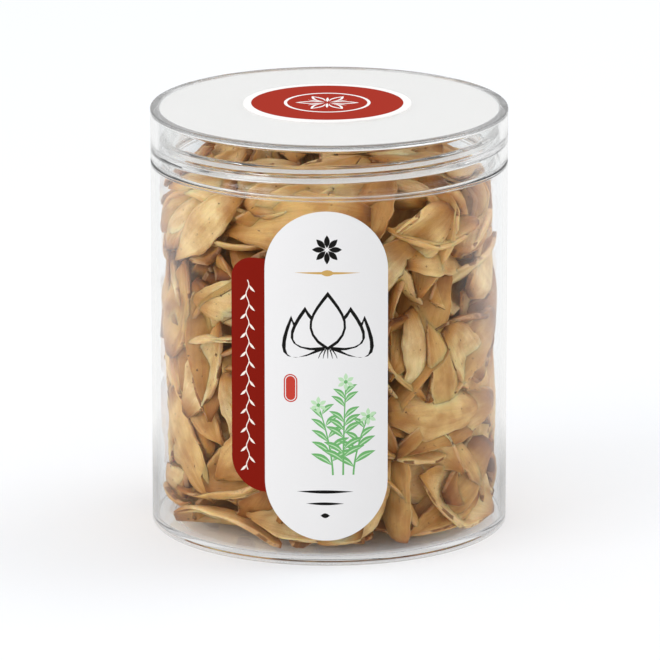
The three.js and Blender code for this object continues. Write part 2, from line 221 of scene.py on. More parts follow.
inner_radius = OUTER_RADIUS - WALL
jar_wall = turned(
    "jar_wall",
    [
        (0, PUSH_UP, 0),
        (STANDING_RING - PUSH_UP, PUSH_UP, 0.1 * mm),
        (STANDING_RING, 0, 0.1 * mm),
        (OUTER_RADIUS, 0, HEEL_ROUND),
        (OUTER_RADIUS, SHOULDER, SHOULDER_ROUND),
        (NECK_RADIUS, SHOULDER, 0.3 * mm),
        (NECK_RADIUS, RIM_TOP, 0.5 * mm),
        (MOUTH_RADIUS, RIM_TOP, 0.5 * mm),
        (MOUTH_RADIUS, SHOULDER - SHOULDER_WALL, 0.3 * mm),
        (inner_radius, SHOULDER - SHOULDER_WALL, SHOULDER_ROUND),
        (inner_radius, FLOOR_TOP, 0.6 * mm),
        (0, FLOOR_TOP, 0),
    ],
    threaded=NECK_RADIUS,
    rows=THREAD_ROWS,
)
push_thread(jar_wall, NECK_RADIUS, JAR_CREST, JAR_THREAD_START, THREAD_END, JAR_THREAD_HEIGHT)
even_out_normals(jar_wall)
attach(jar_wall, "jar")
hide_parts("jar_body")

# %% [markdown]
# ## The lid
#
# Injected from clear polystyrene: a flat plate and a straight skirt, as wide as the jar, with
# the inner thread. Its skirt shows as a grey rim round the white liner.

# %% Make the lid
PLATE = 0.9 * mm
LID_INNER_RADIUS = 40.7 * mm
LID_CREST = 39.65 * mm
LID_THREAD_START = 75
LID_THREAD_BELOW = 2.1 * mm
lid_thread_height = JAR_THREAD_HEIGHT + THREAD_PITCH * LID_THREAD_START / 360 - LID_THREAD_BELOW

lid_cap = turned(
    "lid_cap",
    [
        (0, LID_TOP - PLATE, 0),
        (LID_INNER_RADIUS, LID_TOP - PLATE, 0.4 * mm),
        (LID_INNER_RADIUS, LID_BOTTOM, 0.4 * mm),
        (OUTER_RADIUS, LID_BOTTOM, 0.5 * mm),
        (OUTER_RADIUS, LID_TOP, 0.4 * mm),
        (0, LID_TOP, 0),
    ],
    threaded=LID_INNER_RADIUS,
    rows=THREAD_ROWS,
)
push_thread(lid_cap, LID_INNER_RADIUS, LID_CREST, LID_THREAD_START, THREAD_END, lid_thread_height)
even_out_normals(lid_cap)
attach(lid_cap, "lid")
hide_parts("lid_shell")

# %% [markdown]
# ## The liner
#
# A disc of thin white board lies under the lid's plate and seals the mouth. It shows from above
# through the clear plate, and lets part of the light through to the scales.

# %% Make the liner
liner_low, liner_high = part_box("lid_liner")
LINER_ROUND = 0.12 * mm
liner_board = turned(
    "liner_board",
    [
        (0, liner_low.z, 0),
        (liner_high.x, liner_low.z, LINER_ROUND),
        (liner_high.x, liner_high.z, LINER_ROUND),
        (0, liner_high.z, 0),
    ],
)
even_out_normals(liner_board)
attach(liner_board, "lid_lift")
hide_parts("lid_liner")

# %% [markdown]
# ## Printed paper
#
# A label is a thin sheet with flat areas of ink. Drawn by hand, it would be an outline with
# shapes cut into it. Here the outline and every printed shape are given to a triangulation
# that keeps all their edges, each triangle takes the ink of the last shape that covers it, and
# Solidify gives the paper its thickness. So the print stays sharp at any distance. Upright
# creases let the sheet bend round the jar.

# %% Cut a printed sheet
CREASE_SPACING = 1.2


def anticlockwise(points):
    """The outline, turned round if it runs clockwise."""
    ahead = points[1:] + points[:1]
    area = sum(a[0] * b[1] - b[0] * a[1] for a, b in zip(points, ahead))
    return points if area > 0 else points[::-1]


def printed_sheet(name, outline, prints, carry, thickness):
    """A sheet cut to outline, with prints of (shape, ink number) painted in turn, all in mm.
    carry says where a point of its face goes in the frame."""
    shapes = [anticlockwise(shape) for shape in [outline, *(shape for shape, _ in prints)]]
    inks = [0, *(ink for _, ink in prints)]
    points = [Vector(point) for shape in shapes for point in shape]
    loops = []
    first = 0
    for shape in shapes:
        loops.append(list(range(first, first + len(shape))))
        first += len(shape)
    low = [min(point[k] for point in outline) for k in (0, 1)]
    high = [max(point[k] for point in outline) for k in (0, 1)]
    creases = []
    count = math.ceil((high[0] - low[0]) / CREASE_SPACING)
    for k in range(1, count):
        x = low[0] + (high[0] - low[0]) * k / count
        creases.append((len(points), len(points) + 1))
        points += [Vector((x, low[1] - 1)), Vector((x, high[1] + 1))]
    cut = delaunay_2d_cdt(points, creases, loops, 0, 1e-5)
    corners, triangles, origins = cut[0], cut[2], cut[5]
    kept = [k for k, origin in enumerate(origins) if 0 in origin]
    used = sorted({corner for k in kept for corner in triangles[k]})
    number = {corner: k for k, corner in enumerate(used)}
    data = bpy.data.meshes.new(name)
    data.from_pydata(
        [carry(*corners[corner]) for corner in used],
        [],
        [[number[corner] for corner in triangles[k]] for k in kept],
    )
    data.polygons.foreach_set("material_index", [inks[max(origins[k])] for k in kept])
    piece = bpy.data.objects.new(name, data)
    bpy.context.scene.collection.objects.link(piece)
    bpy.ops.object.select_all(action="DESELECT")
    piece.select_set(True)
    bpy.context.view_layer.objects.active = piece
    bpy.ops.object.modifier_add(type="SOLIDIFY")
    piece.modifiers[-1].thickness = thickness
    piece.modifiers[-1].offset = -1
    bpy.ops.object.modifier_apply(modifier=piece.modifiers[-1].name)
    bpy.ops.object.shade_smooth_by_angle(angle=math.radians(30))
    print(f"{name}: {len(prints)} printed shapes, {len(piece.data.polygons)} faces")
    return piece


# %% [markdown]
# ### Shapes for the printer
#
# All ornaments are built from three shapes: a round one, a pointed leaf whose middle line may
# be bowed, and a line that may taper.

# %% Draw round shapes, leaves and lines
ROUND_POINTS = 48
LEAF_POINTS = 9


def round_shape(centre, radius, points=ROUND_POINTS):
    """A circle as a list of points."""
    angles = [2 * math.pi * k / points for k in range(points)]
    return [(centre[0] + radius * math.cos(a), centre[1] + radius * math.sin(a)) for a in angles]


def leaf(base, tip, width, bow=0.0, belly=0.5):
    """A pointed leaf. bow is how far its middle line stands aside, belly where it is widest."""
    along = Vector(tip) - Vector(base)
    across = Vector((-along.y, along.x)).normalized()
    sides = ([], [])
    for k in range(LEAF_POINTS):
        share = k / (LEAF_POINTS - 1)
        swell = math.sin(math.pi * share ** (math.log(0.5) / math.log(belly)))
        middle = Vector(base) + along * share + across * bow * 4 * share * (1 - share)
        for side, sign in zip(sides, (1, -1)):
            side.append(middle + across * sign * width / 2 * swell)
    ring = sides[0] + sides[1][-2:0:-1]
    return [tuple(point) for point in ring]


def line(points, width, end_width=None):
    """A line through points, whose width may run out towards its end."""
    end_width = width if end_width is None else end_width
    left, right = [], []
    for k, point in enumerate(points):
        ahead = Vector(points[min(k + 1, len(points) - 1)]) - Vector(points[max(k - 1, 0)])
        across = Vector((-ahead.y, ahead.x)).normalized()
        half = (width + (end_width - width) * k / (len(points) - 1)) / 2
        left.append(tuple(Vector(point) + across * half))
        right.append(tuple(Vector(point) - across * half))
    return left + right[::-1]


# %% [markdown]
# ## The front label
#
# Tall white coated paper with half-round ends. Its print is a plain flower mark, a gold rule,
# an opened bulb in bold black lines, a small red stamp, three green flowering sprigs and three
# black rules. An image texture would need a file, so the print is made of flat shapes. All its
# numbers are in mm, from the jar's axis and its foot.

# %% Draw the front label's print
front_low, front_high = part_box("front_label")
PAPER = 0.25 * mm
label_radius = -front_low.y
front_width = (front_high.x - front_low.x) / mm
front_bottom = front_low.z / mm
front_top = front_high.z / mm
BARE, BLACK, GOLD, RED, GREEN, PALE_GREEN = range(6)
STAMP_X = -8.3
SPRIG_FOOT = 22.4
STEM_STEPS = 12


def pill(width, bottom, top, middle=0.0):
    """A tall outline with half-round ends."""
    radius = width / 2
    angles = [math.pi * k / ROUND_POINTS for k in range(ROUND_POINTS + 1)]
    aside = [radius * math.cos(a) for a in angles]
    rise = [radius * math.sin(a) for a in angles]
    upper = [(middle + x, top - radius + z) for x, z in zip(aside, rise)]
    lower = [(middle - x, bottom + radius - z) for x, z in zip(aside, rise)]
    return upper + lower


def flower(centre, radius, petals, width, ink, start=90.0):
    """Petals round a point, the first one at start degrees."""
    made = []
    for k in range(petals):
        angle = math.radians(start + 360 * k / petals)
        way = Vector((math.cos(angle), math.sin(angle)))
        base = Vector(centre) + way * radius * 0.12
        made.append((leaf(base, Vector(centre) + way * radius, width), ink))
    return made


def bulb(base, height, width, ink, bare):
    """A bulb of overlapping scales in bold outline, the outer ones first."""
    made = []
    x, z = base
    for share in (1.0, 0.62, 0.0):
        for side in (-1, 1) if share else (1,):
            reach = side * share * width / 2
            tip = (x + reach * 0.8, z + height * (1 - 0.42 * share))
            foot = (x + reach * 0.12, z)
            bow = -reach * 0.35
            body = width * (0.40 - 0.06 * share)
            made.append((leaf(foot, tip, body, bow, 0.42), ink))
            inner_foot = (foot[0] + reach * 0.02, foot[1] + 0.9)
            inner_tip = (tip[0] - reach * 0.01, tip[1] - 1.3)
            made.append((leaf(inner_foot, inner_tip, body - 1.1, bow, 0.42), bare))
    for k in range(-2, 3):
        root = [(x + 0.5 * k, z + 0.3), (x + 0.9 * k, z - 0.9), (x + 1.1 * k, z - 1.9)]
        made.append((line(root, 0.34, 0.12), ink))
    return made


def sprig(foot, height, lean, pairs, ink, pale):
    """A stem that leans over as it rises, with pairs of narrow leaves and a blossom on top."""
    stem = []
    for k in range(STEM_STEPS + 1):
        bend = Vector((lean * (k / STEM_STEPS) ** 1.6, height * k / STEM_STEPS))
        stem.append(Vector(foot) + bend)
    made = []
    for k in range(pairs):
        share = 0.14 + 0.72 * k / (pairs - 1)
        reach = 5.4 * (1 - 0.55 * share)
        for side in (-1, 1):
            base = stem[round(STEM_STEPS * share)] + Vector((0, 0.5 * side))
            way = Vector((side * reach, reach * (0.5 + 0.5 * share)))
            made.append((leaf(base, base + way, 1.6 - 0.5 * share, side * 0.5), ink))
            made.append((leaf(base, base + way * 0.86, 0.3, side * 0.45), pale))
    made.append((line(stem, 0.45, 0.25), ink))
    made += flower(stem[-1], 2.1, 6, 0.95, pale)
    made.append((round_shape(stem[-1], 0.45, 12), ink))
    return made


front_print = flower((0.2, 76.8), 3.5, 8, 1.35, BLACK)
front_print += [
    (leaf((-7.4, 71.2), (8.0, 71.2), 0.6), GOLD),
    (leaf((-1.5, 71.2), (2.1, 71.2), 1.5), GOLD),
]
front_print += bulb((0.4, 52.6), 14.2, 21.4, BLACK, BARE)
front_print += [
    (pill(3.2, 39.9, 46.7, STAMP_X), RED),
    (pill(2.6, 40.2, 46.4, STAMP_X), BARE),
    (pill(2.2, 40.4, 46.2, STAMP_X), RED),
]
for x, lean, height, pairs in ((1.6, -3.4, 17.0, 5), (6.4, 3.4, 14.0, 4), (4.0, 0.6, 22.6, 7)):
    front_print += sprig((x, SPRIG_FOOT), height, lean, pairs, GREEN, PALE_GREEN)
front_print += [
    (leaf((-6.9, 18.3), (6.5, 18.3), 0.8), BLACK),
    (leaf((-4.7, 15.4), (4.3, 15.4), 0.7), BLACK),
    (leaf((-1.3, 12.5), (0.9, 12.5), 1.2), BLACK),
]
print(f"front print: {len(front_print)} shapes")
print(f"front label: {front_width:.2f} mm wide, {front_top - front_bottom:.1f} mm tall")

# %% Cut the front label


def on_jar(x, z):
    """The point of the labels' outer face that shows at x, z from the front."""
    return (x * mm, -math.sqrt(label_radius**2 - (x * mm) ** 2), z * mm)


front_outline = pill(front_width, front_bottom, front_top)
front_paper = printed_sheet("front_paper", front_outline, front_print, on_jar, PAPER)
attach(front_paper, "jar")
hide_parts("front_label")

# %% [markdown]
# ## The side label
#
# Dark red coated paper that comes out from beside the front label. Its outer corners are
# rounded, the lower one more. A slim white vine runs down it. Its right edge follows the front
# label's left one, so the two sheets lie side by side and no boolean has to cut them.

# %% Make the side label
side_low, side_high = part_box("side_label")
SIDE_TOP_ROUND = 5.2
SIDE_BOTTOM_ROUND = 7.8
LABEL_GAP = 0.05
VINE_X = -18.4
VINE_TOP = 68.5
VINE_BOTTOM = 22.5
VINE_STEP = 2.3
VINE_SWING = 0.35
WHITE = 1


def quarter(centre, radius, start):
    """A quarter of a circle from start degrees on, anticlockwise."""
    steps = ROUND_POINTS // 4
    angles = [math.radians(start + 90 * k / steps) for k in range(steps + 1)]
    return [(centre[0] + radius * math.cos(a), centre[1] + radius * math.sin(a)) for a in angles]


def side_outline():
    """The red label's outline. Its right side follows the front label's left one."""
    left, bottom, top = (v / mm for v in (side_low.x, side_low.z, side_high.z))
    radius = front_width / 2 + LABEL_GAP
    centres = (front_bottom - LABEL_GAP + radius, front_top + LABEL_GAP - radius)
    right = []
    for k in range(ROUND_POINTS + 1):
        z = bottom + (top - bottom) * k / ROUND_POINTS
        beyond = max(centres[0] - z, z - centres[1], 0)
        right.append((-math.sqrt(radius**2 - beyond**2), z))
    upper = quarter((left + SIDE_TOP_ROUND, top - SIDE_TOP_ROUND), SIDE_TOP_ROUND, 90)
    lower = quarter((left + SIDE_BOTTOM_ROUND, bottom + SIDE_BOTTOM_ROUND), SIDE_BOTTOM_ROUND, 180)
    return right + upper + lower


def vine():
    """A wavy line with a leaf at each turn, down the red label."""
    count = round((VINE_TOP - VINE_BOTTOM) / VINE_STEP)
    path = []
    for k in range(4 * count + 1):
        z = VINE_TOP - (VINE_TOP - VINE_BOTTOM) * k / (4 * count)
        path.append((VINE_X + VINE_SWING * math.sin(math.pi * k / 4), z))
    made = [(line(path, 0.22), WHITE)]
    for k in range(count):
        x, z = path[4 * k + 2]
        side = 1 if k % 2 == 0 else -1
        made.append((leaf((x, z), (x + side * 1.4, z - 1.6), 0.55, -0.12 * side), WHITE))
    return made


side_paper = printed_sheet("side_paper", side_outline(), vine(), on_jar, PAPER)
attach(side_paper, "jar")
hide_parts("side_label")

# %% [markdown]
# ## The lid's sticker
#
# A round white sticker with a red field, and on it a thin ring with a plain star flower. It is
# cut and printed by the same function as the labels, and laid on the lid's flat top.

# %% Make the lid's sticker
sticker_low, sticker_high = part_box("lid_sticker")
sticker_radius = (sticker_high.x - sticker_low.x) / 2 / mm
sticker_middle = (sticker_high + sticker_low) / 2
RED_FIELD = 18.1
EMBLEM_RING = 10.3
RING_LINE = 0.75
SEAL_RED = 1


def on_lid(x, y):
    """A point of the sticker's upper face."""
    return (sticker_middle.x + x * mm, sticker_middle.y + y * mm, sticker_high.z)


sticker_print = [
    (round_shape((0, 0), RED_FIELD, 96), SEAL_RED),
    (round_shape((0, 0), EMBLEM_RING, 72), BARE),
    (round_shape((0, 0), EMBLEM_RING - RING_LINE, 72), SEAL_RED),
]
sticker_print += flower((0, 0), 7.6, 6, 2.6, BARE, start=0)
sticker_print += flower((0, 0), 6.6, 6, 1.5, SEAL_RED, start=0)
sticker_print += flower((0, 0), 5.4, 6, 0.7, BARE, start=30)
sticker_outline = round_shape((0, 0), sticker_radius, SPIN_STEPS)
lid_seal = printed_sheet("lid_seal", sticker_outline, sticker_print, on_lid, PAPER)
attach(lid_seal, "lid")
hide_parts("lid_sticker")

# %% [markdown]
# ## The heap of scales: where each one lies
#
# Some 380 scales were poured into the jar and shaken. A rigid-body simulation would be slow
# and never quite rest, so a lighter rule finds their places: every scale is felt at thirteen
# points, points of two scales that come too near push each other apart, and a faint drift
# presses the outer scales against wall, floor and top. The solid model uses the same rule
# with the same seed, so the scales seen here lie where its blades lie. In the heap's cells all
# lengths are in mm, up to the step that builds its meshes.

# %% The heap's sizes, in mm
SEED = 20
COUNT = 380
LENGTHS = (25, 36)
WIDTH_SHARES = (0.37, 0.5)
RISE_SHARES = (0.06, 0.17)
CUP_SHARES = (0.1, 0.28)
GAP = 0.45
WALL_LIMIT = inner_radius / mm - GAP
MOUTH_LIMIT = MOUTH_RADIUS / mm - GAP
FLOOR_LIMIT = FLOOR_TOP / mm + GAP
NARROWING = (82.9, 86.9)
CROWN_HEIGHT = 97
CROWN_DROP = 12
DRAWN_INSET = 1.75
FEELER_RADIUS = 1.8
EDGE_RADIUS = 0.9
DRIFT = 0.12
DRIFT_DEPTH = 18
ROUNDS = 220
CALM_ROUNDS = 60
LIST_EVERY = 10
LIST_MARGIN = 2.5
GIVE = 0.9
FIRM = 0.3
FEWEST_CONTACTS = 3
TINY = 1e-12
print(f"heap: {COUNT} scales of {LENGTHS[0]} to {LENGTHS[1]} mm, under {CROWN_HEIGHT} mm")

# %% The room that the heap fills


def wall_limit(z):
    """How far from the axis a scale may reach at height z."""
    share = np.clip((z - NARROWING[0]) / (NARROWING[1] - NARROWING[0]), 0, 1)
    return WALL_LIMIT + (MOUTH_LIMIT - WALL_LIMIT) * share


def crown_limit(distance):
    """How high a scale may reach at that distance from the axis."""
    return CROWN_HEIGHT - CROWN_DROP * (distance / WALL_LIMIT) ** 2


def depths(at):
    """How deep each point lies under the heap's wall, floor and crown."""
    distance = np.hypot(at[..., 0], at[..., 1])
    z = at[..., 2]
    return np.stack([wall_limit(z) - distance, z - FLOOR_LIMIT, crown_limit(distance) - z], -1)


def outwards(at):
    """The way out through wall, floor and crown at each point."""
    distance = np.maximum(np.hypot(at[..., 0], at[..., 1]), TINY)
    out = np.zeros((*at.shape[:-1], 3, 3))
    out[..., 0, 0] = at[..., 0] / distance
    out[..., 0, 1] = at[..., 1] / distance
    out[..., 1, 2] = -1
    out[..., 2, 2] = 1
    return out


# %% Draw the scales' sizes and starting places
EMPTY_MIDDLE = 0.2
STREAM_FACTOR = 1664525
STREAM_STEP = 1013904223
STREAM_RANGE = 2**32


def random_stream(seed):
    """A repeatable stream of numbers from 0 to 1."""
    state = seed
    while True:
        state = (state * STREAM_FACTOR + STREAM_STEP) % STREAM_RANGE
        yield state / STREAM_RANGE


def between(limits, share):
    """The number at that share of the way between two limits."""
    return limits[0] + (limits[1] - limits[0]) * share


def draw_in_ball(stream, dimensions):
    """A random point in a ball of radius 1, not near its middle, and its distance."""
    while True:
        point = np.array([2 * next(stream) - 1 for _ in range(dimensions)])
        size = np.sqrt(np.sum(point**2))
        if EMPTY_MIDDLE <= size <= 1:
            return point, size


stream = random_stream(SEED)
sizes = np.zeros((COUNT, 4))
centres = np.zeros((COUNT, 3))
turns = np.zeros((COUNT, 4))
for index in range(COUNT):
    length = between(LENGTHS, next(stream))
    width = length * between(WIDTH_SHARES, next(stream))
    rise = length * between(RISE_SHARES, next(stream))
    cup = width * between(CUP_SHARES, next(stream))
    level = (index + next(stream)) / COUNT
    spot, spot_size = draw_in_ball(stream, 2)
    turn, turn_size = draw_in_ball(stream, 4)
    reach = WALL_LIMIT - DRAWN_INSET
    top = crown_limit(spot_size * reach) - DRAWN_INSET
    sizes[index] = length, width, rise, cup
    centres[index] = *(spot * reach), between((FLOOR_LIMIT + DRAWN_INSET, top), level)
    turns[index] = turn / turn_size
print(f"scales: {COUNT}, {sizes[:, 0].min():.1f} to {sizes[:, 0].max():.1f} mm long")

# %% The shape that is felt


def outline(s):
    """Half a scale's width at share s of its length, from cut base to tip, where 1 is widest."""
    rest = 1 - s
    return 0.3 * rest**3 + 4.2 * s * rest**2 + 3.3 * s**2 * rest


def middle_surface(size, s, t):
    """Points of a scale's middle surface in its own frame, its hollow side facing -Z."""
    length, width, rise, cup = size
    half = outline(s) * t
    height = rise * (4 * s * (1 - s) - 2 / 3) - cup * half**2
    return np.stack([(s - 0.5) * length, half * width / 2, height], -1)


def turned_by(turn, points):
    """Points turned by quaternions of x, y, z, w. Both may be arrays of the same leading shape."""
    axis, real = turn[..., None, :3], turn[..., None, 3:]
    twice = 2 * np.cross(axis, points)
    return points + real * twice + np.cross(axis, twice)


feeler_s = np.array([0.08, 0.3, 0.5, 0.7, 0.92, 0.2, 0.2, 0.4, 0.4, 0.6, 0.6, 0.8, 0.8])
feeler_t = np.array([0, 0, 0, 0, 0, 0.7, -0.7, 0.7, -0.7, 0.7, -0.7, 0.7, -0.7])
feelers = np.stack([middle_surface(size, feeler_s, feeler_t) for size in sizes])
print(f"feelers: {feelers.shape[1]} on each scale")

# %% Let the scales settle
ROWS_AT_ONCE = 512


def near_pairs(at):
    """Numbers of feelers of different scales that lie near each other."""
    reach = 2 * FEELER_RADIUS + LIST_MARGIN
    points = at.reshape(-1, 3)
    owner = np.repeat(np.arange(COUNT), at.shape[1])
    squares = (points**2).sum(1)
    ones, others = [], []
    for start in range(0, len(points), ROWS_AT_ONCE):
        rows = slice(start, start + ROWS_AT_ONCE)
        gap = squares[rows, None] + squares[None] - 2 * points[rows] @ points.T
        a, b = np.nonzero((gap < reach**2) & (owner[rows, None] < owner[None]))
        ones.append(a + start)
        others.append(b)
    return np.concatenate(ones), np.concatenate(others)


for step in range(ROUNDS):
    arms = turned_by(turns, feelers)
    at = arms + centres[:, None]
    depth, out = depths(at), outwards(at)
    push = -(np.maximum(0, EDGE_RADIUS - depth)[..., None] * out).sum(-2)
    if step < ROUNDS - CALM_ROUNDS:
        nearest = depth.argmin(-1)[..., None]
        pulled = np.take_along_axis(depth, nearest, -1) < DRIFT_DEPTH
        push += DRIFT * pulled * np.take_along_axis(out, nearest[..., None], -2)[..., 0, :]
    if step % LIST_EVERY == 0:
        one, other = near_pairs(at)
    flat = at.reshape(-1, 3)
    away = flat[one] - flat[other]
    gap = np.sqrt((away**2).sum(1))
    overlap = np.maximum(0, 2 * FEELER_RADIUS - gap)
    away *= (overlap / 2 / np.maximum(gap, TINY))[:, None]
    for axis in range(3):
        gained = np.bincount(one, away[:, axis], flat.shape[0])
        gained -= np.bincount(other, away[:, axis], flat.shape[0])
        push[..., axis] += gained.reshape(push.shape[:2])
    firm = (np.sqrt((push**2).sum(-1)) > FIRM).sum(1)
    give = GIVE / np.maximum(FEWEST_CONTACTS, firm)
    centres += push.sum(1) * give[:, None]
    mean_arm = (arms**2).sum(-1).mean(1)
    half = np.cross(arms, push).sum(1) * (0.5 * give / mean_arm)[:, None]
    vector, real = turns[:, :3], turns[:, 3:]
    turns = np.concatenate(
        [
            vector + half * real + np.cross(half, vector),
            real - (half * vector).sum(1, keepdims=True),
        ],
        1,
    )
    turns /= np.sqrt((turns**2).sum(1, keepdims=True))
print(f"settled: {np.count_nonzero(overlap > 1)} feelers still more than 1 mm into another")

# %% [markdown]
# ## The heap of scales: their shape
#
# A dried scale is a boat-shaped blade, cut off straight at its base and pointed at its tip,
# with a wavy edge and a slight twist. A flat blank is modelled once, from a grid with
# Solidify. Each copy of the blank is then bowed, cupped, twisted and ruffled by its own
# numbers, and pressed flat where it meets the wall. Scales that lie deep inside get a blank
# of few faces, and those that show get a finer one.

# %% Model the two blanks


def blank(name, along, across):
    """A closed flat blank on s from 0 to 1 and t from -1 to 1, with z -1 and 1 on its two sides."""
    bpy.ops.object.select_all(action="DESELECT")
    bpy.ops.mesh.primitive_grid_add(x_subdivisions=along, y_subdivisions=across, size=2)
    piece = bpy.context.object
    piece.name = name
    bpy.ops.object.modifier_add(type="SOLIDIFY")
    piece.modifiers[-1].thickness = 2
    piece.modifiers[-1].offset = 0
    bpy.ops.object.modifier_apply(modifier=piece.modifiers[-1].name)
    place = np.array([v.co for v in piece.data.vertices])
    faces = [list(face.vertices) for face in piece.data.polygons]
    bpy.data.objects.remove(piece)
    print(f"{name}: {len(faces)} faces")
    return (place[:, 0] + 1) / 2, place[:, 1], np.sign(place[:, 2]), faces


fine_blank = blank("fine_blank", 18, 10)
plain_blank = blank("plain_blank", 6, 3)

# %% Shape each scale
FINE_DEPTH = 6.0
HALF_THICKNESS = 0.85
STANDOFF = 1.8
ROOM_SOFTNESS = 0.5
BLUNT_TIP = 0.05
RIM_START = 0.62
THIN_EDGE = 0.78
INSIDE_LENGTH = (0.03, 0.97)
INSIDE_WIDTH = (-0.97, 0.97)
SLOPE_STEP = 0.02
NO_LENGTH = 1e-9
WAVES = 12
dice = np.random.default_rng(SEED)


def softened(depth):
    """Depths under the room's boundary, negative ones brought back inside without a crease."""
    return (depth + np.sqrt(depth**2 + 4 * ROOM_SOFTNESS**2)) / 2


def pressed(points, inset):
    """Points brought back into the heap's room, shrunk by inset."""
    distance = np.hypot(points[..., 0], points[..., 1])
    limit = wall_limit(points[..., 2]) - inset
    squeeze = (limit - softened(limit - distance)) / np.maximum(distance, NO_LENGTH)
    low = FLOOR_LIMIT + inset
    high = crown_limit(distance)
    z = low + softened(points[..., 2] - low)
    z = high - softened(high - z)
    return np.stack([points[..., 0] * squeeze, points[..., 1] * squeeze, z], -1)


def shaped(size, waves, s, t):
    """The middle surface with its ragged edge, rolled rim, furrows, twist and curled tip."""
    length, width, _, _ = size
    side = np.sign(t)
    rim = np.clip((np.abs(t) - RIM_START) / (1 - RIM_START), 0, 1) ** 2
    # The edge runs in and out, with waves of three lengths.
    ragged = 0.06 * np.sin(9 * s + waves[0]) + 0.045 * np.sin(19 * s + waves[1] + 2 * side)
    ragged += 0.03 * np.sin(37 * s + waves[2] * side)
    wide = np.maximum(outline(s), BLUNT_TIP) * (1 + ragged * t**2)
    half = wide * t
    share = np.divide(half, outline(s), out=np.zeros_like(s + t), where=outline(s) > 0.01)
    # The blade bends aside, and its rim rolls inwards in places.
    points = middle_surface(size, s, share)
    points[..., 1] = half * width / 2
    points[..., 1] += 0.05 * width * np.sin(3 * s + waves[3])
    roll = rim * (0.35 + 0.65 * np.sin(4.5 * s + waves[4] + side)) * waves[5] / 6.3
    points[..., 1] -= side * 0.07 * width * roll * wide
    points[..., 2] -= 0.11 * width * roll * wide
    # The rim ripples, furrows run along, the face is uneven, and the blade twists and curls.
    points[..., 2] += 0.3 * rim * np.sin(13 * s + waves[6] + side)
    points[..., 2] += 0.13 * np.sin(7.5 * t + waves[7] + 1.5 * np.sin(3 * s)) * wide
    points[..., 2] += 0.12 * np.sin(11 * s + 2 * t + waves[8])
    points[..., 2] += 0.6 * half * np.sin(2.5 * s + waves[9])
    points[..., 2] += 0.9 * np.sin(waves[10]) * np.clip(s - 0.6, 0, 1) ** 2 * length / 4
    return points


def scale_points(k, waves, s, t, side):
    """Where one scale's vertices lie in the jar, in mm."""

    def surface(s, t):
        placed = turned_by(turns[k], shaped(sizes[k], waves, s, t)) + centres[k]
        return pressed(placed, HALF_THICKNESS + standoffs[k])

    t = t * (1.5 - 0.5 * t**2)
    inner_s = np.clip(s, *INSIDE_LENGTH)
    inner_t = np.clip(t, *INSIDE_WIDTH)
    forward = surface(inner_s + SLOPE_STEP, inner_t) - surface(inner_s - SLOPE_STEP, inner_t)
    sideways = surface(inner_s, inner_t + SLOPE_STEP) - surface(inner_s, inner_t - SLOPE_STEP)
    normal = np.cross(forward, sideways)
    normal /= np.maximum(np.sqrt((normal**2).sum(-1, keepdims=True)), NO_LENGTH)
    thick = HALF_THICKNESS * (1 - 0.25 * t**2) * (1 - 0.3 * s)
    thick *= 1 + 0.2 * np.sin(8 * s + waves[11])
    thick *= np.where(np.abs(t) > 0.99, THIN_EDGE, 1)
    return surface(s, t) + normal * (side * thick)[:, None]


# %% Build the heap in three pieces
PARTS = ("scales_lower", "scales_middle", "scales_upper")
mean_depth = depths(turned_by(turns, feelers) + centres[:, None]).min(-1).mean(1)
waves_of = dice.uniform(0, 2 * math.pi, (COUNT, WAVES))
tints = dice.uniform(0, 1, COUNT)
standoffs = STANDOFF * dice.uniform(0, 1, COUNT) ** 2
order = np.argsort(centres[:, 2])
heap_pieces = []
for part, members in zip(PARTS, np.array_split(order, len(PARTS))):
    places, faces, flesh, tint = [], [], [], []
    first = 0
    for k in members:
        s, t, side, blank_faces = fine_blank if mean_depth[k] < FINE_DEPTH else plain_blank
        places.append(scale_points(k, waves_of[k], s, t, side))
        faces += [[first + corner for corner in face] for face in blank_faces]
        flesh.append(np.stack([s, t, side], -1))
        tint.append(np.full(len(s), tints[k]))
        first += len(s)
    data = bpy.data.meshes.new(part)
    data.from_pydata((np.concatenate(places) * mm).tolist(), [], faces)
    flesh_map = data.attributes.new("flesh", "FLOAT_VECTOR", "POINT")
    flesh_map.data.foreach_set("vector", np.concatenate(flesh).ravel())
    tint_map = data.attributes.new("tint", "FLOAT", "POINT")
    tint_map.data.foreach_set("value", np.concatenate(tint))
    data.shade_smooth()
    piece = bpy.data.objects.new(part, data)
    bpy.context.scene.collection.objects.link(piece)
    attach(piece, "jar")
    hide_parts("dried_scales")
    heap_pieces.append(piece)
    print(f"{part}: {len(members)} scales, {len(faces)} faces")

# %% [markdown]
# ## Materials
#
# Every finish starts from the real material. One function turns hex colours to the linear
# numbers that Blender works in, and one adds a node with its settings and links. A Mix node
# has several sockets of one name, so its two colours and their mix are given by number.

# %% Colour and node helpers
MIX_A, MIX_B, MIXED = 6, 7, 2


def linear(hex_code):
    """An sRGB hex colour as the linear colour that Blender's sockets take."""
    shares = [int(hex_code[k : k + 2], 16) / 255 for k in (1, 3, 5)]
    return [c / 12.92 if c <= 0.04045 else ((c + 0.055) / 1.055) ** 2.4 for c in shares] + [1.0]


def new_material(name):
    """A material whose node tree is still empty."""
    material = bpy.data.materials.new(name)
    material.use_nodes = True
    material.node_tree.nodes.clear()
    return material


